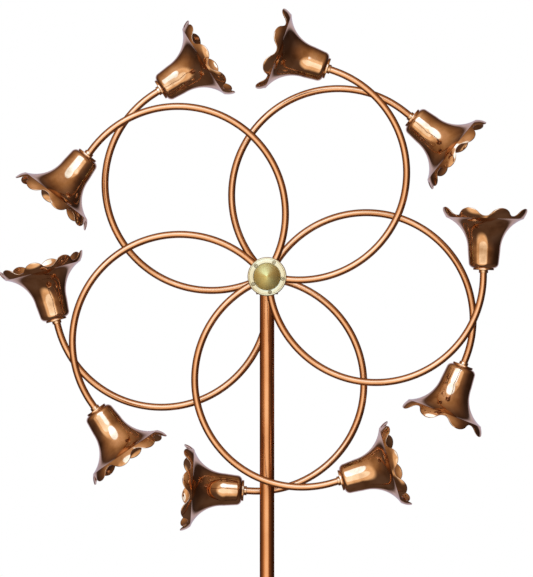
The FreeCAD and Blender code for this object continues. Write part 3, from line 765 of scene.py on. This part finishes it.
def make_camera():
    """Level with the axle and far off, so that the wheels are seen almost without perspective."""
    data = bpy.data.cameras.new("camera")
    data.sensor_fit = "AUTO"
    data.sensor_width = LONG_SENSOR_SIDE / MM
    data.lens = LONG_SENSOR_SIDE / MM * CAMERA_DISTANCE / FRAME_HEIGHT
    data.clip_end = CAMERA_REACH
    camera = bpy.data.objects.new("camera", data)
    spot = Vector((-HUB_RIGHT_OF_MIDDLE, -CAMERA_DISTANCE, -HUB_ABOVE_MIDDLE))
    camera.location = AXLE + spot
    camera.rotation_euler = (math.pi / 2, 0, 0)
    bpy.context.scene.collection.objects.link(camera)
    bpy.context.scene.camera = camera


def smooth_step(tree, value, start, end, kind="SMOOTHSTEP"):
    """0 at the start value and 1 at the end value."""
    node = tree.nodes.new("ShaderNodeMapRange")
    node.interpolation_type = kind
    node.inputs["From Min"].default_value = start
    node.inputs["From Max"].default_value = end
    tree.links.new(value, node.inputs["Value"])
    return node.outputs["Result"]


def mixed(tree, share, colour, other):
    """A colour, with its share replaced by another."""
    node = tree.nodes.new("ShaderNodeMixRGB")
    tree.links.new(share, node.inputs["Fac"])
    tree.links.new(colour, node.inputs["Color1"])
    node.inputs["Color2"].default_value = (*other, 1)
    return node.outputs["Color"]


def vector_math(tree, operation, vector, other=(0, 0, 0)):
    node = tree.nodes.new("ShaderNodeVectorMath")
    node.operation = operation
    node.inputs[1].default_value = other
    tree.links.new(vector, node.inputs[0])
    return node.outputs


def soft_ellipse(tree, direction, x, z, half_width, half_height, edge):
    """1 inside an ellipse of directions, seen from the wheel towards the camera."""
    offset = vector_math(tree, "SUBTRACT", direction, (x, 0, z))["Vector"]
    scale = (1 / half_width, 0, 1 / half_height)
    scaled = vector_math(tree, "MULTIPLY", offset, scale)["Vector"]
    length = vector_math(tree, "LENGTH", scaled)["Value"]
    return smooth_step(tree, length, 1 + edge, 1 - edge)


# Brightest side of the room, and its softboxes as directions (X right, Z up) seen from the wheel.
# Each softbox covers the ones before it.
ROOM_BRIGHT_SIDE = (-0.30, -0.707, 0.64)
ROOM_SHADES = [
    (0.0, (0.022, 0.015, 0.014)),
    (0.35, (0.042, 0.025, 0.020)),
    (0.5, (0.098, 0.058, 0.040)),
    (0.65, (0.205, 0.120, 0.072)),
    (0.82, (0.40, 0.26, 0.15)),
    (1.0, (0.75, 0.56, 0.42)),
]
LIGHT_FROM_BELOW = (0.10, 0.065, 0.05)
LIGHT_FROM_BEHIND = (0.52, 0.50, 0.66)
SOFTBOXES = (
    {"middle": (-0.19, -0.02), "half_size": (0.62, 0.80), "edge": 0.12, "light": (0.98, 0.78, 0.58)},
    {"middle": (-0.12, -0.16), "half_size": (0.46, 0.34), "edge": 0.07, "light": (1.3, 1.35, 1.4)},
    {"middle": (-0.17, 0.46), "half_size": (0.44, 0.32), "edge": 0.07, "light": (1.5, 2.2, 3.4)},
)


def make_world():
    """White to the camera. To reflections a warm room, brightest before and left of the wheel."""
    world = bpy.data.worlds.new("studio")
    bpy.context.scene.world = world
    world.use_nodes = True
    tree = world.node_tree
    tree.nodes.clear()
    direction = tree.nodes.new("ShaderNodeTexCoord").outputs["Generated"]
    parts = tree.nodes.new("ShaderNodeSeparateXYZ")
    tree.links.new(direction, parts.inputs["Vector"])
    toward = vector_math(tree, "DOT_PRODUCT", direction, ROOM_BRIGHT_SIDE)["Value"]
    room = ramp(tree, smooth_step(tree, toward, -1.0, 1.0, "LINEAR"), ROOM_SHADES)
    below = smooth_step(tree, parts.outputs["Z"], -0.1, -0.9)
    room = mixed(tree, below, room, LIGHT_FROM_BELOW)
    behind = smooth_step(tree, parts.outputs["Y"], 0.70, 0.86)
    room = mixed(tree, behind, room, LIGHT_FROM_BEHIND)
    in_front = smooth_step(tree, parts.outputs["Y"], 0.02, -0.02)
    for box in SOFTBOXES:
        inside = soft_ellipse(tree, direction, *box["middle"], *box["half_size"], box["edge"])
        both = tree.nodes.new("ShaderNodeMath")
        both.operation = "MULTIPLY"
        tree.links.new(inside, both.inputs[0])
        tree.links.new(in_front, both.inputs[1])
        room = mixed(tree, both.outputs["Value"], room, box["light"])
    to_camera = tree.nodes.new("ShaderNodeLightPath").outputs["Is Camera Ray"]
    seen = add(tree, "ShaderNodeBackground", Color=(1, 1, 1, 1), Strength=1.0)
    around = add(tree, "ShaderNodeBackground", Strength=1.0)
    tree.links.new(room, around.inputs["Color"])
    mix = tree.nodes.new("ShaderNodeMixShader")
    tree.links.new(to_camera, mix.inputs[0])
    tree.links.new(around.outputs[0], mix.inputs[1])
    tree.links.new(seen.outputs[0], mix.inputs[2])
    output = tree.nodes.new("ShaderNodeOutputWorld")
    tree.links.new(mix.outputs[0], output.inputs["Surface"])


def make_floor():
    """A pale floor just under the stake's tip, with a faint glow of its own."""
    level = cad_low.z - 1.0 * MM
    signs = [(-1, -1), (1, -1), (1, 1), (-1, 1)]
    spots = [(x * FLOOR_REACH, y * FLOOR_REACH, level) for x, y in signs]
    mesh = bpy.data.meshes.new("floor")
    mesh.from_pydata(spots, [], [(0, 1, 2, 3)])
    floor = bpy.data.objects.new("floor", mesh)
    bpy.context.scene.collection.objects.link(floor)
    made, tree, shader = material("pale_floor", (0.86, 0.86, 0.85), 0.0, 0.7)
    shader.inputs["Emission Color"].default_value = (0.93, 0.97, 0.93, 1)
    shader.inputs["Emission Strength"].default_value = FLOOR_GLOW
    places = tree.nodes.new("ShaderNodeTexCoord")
    cloud = noise(tree, places.outputs["Object"], 3.0, 2.0)
    shades = [(0.3, (0.84, 0.84, 0.83)), (0.7, (0.88, 0.88, 0.87))]
    tree.links.new(ramp(tree, cloud, shades), shader.inputs["Base Color"])
    mesh.materials.append(made)
    floor.visible_glossy = False


make_camera()
make_world()
make_floor()
finish_cad_nodes()
make_wheel("front")
make_wheel("rear")
bpy.context.scene.view_settings.view_transform = "Standard"
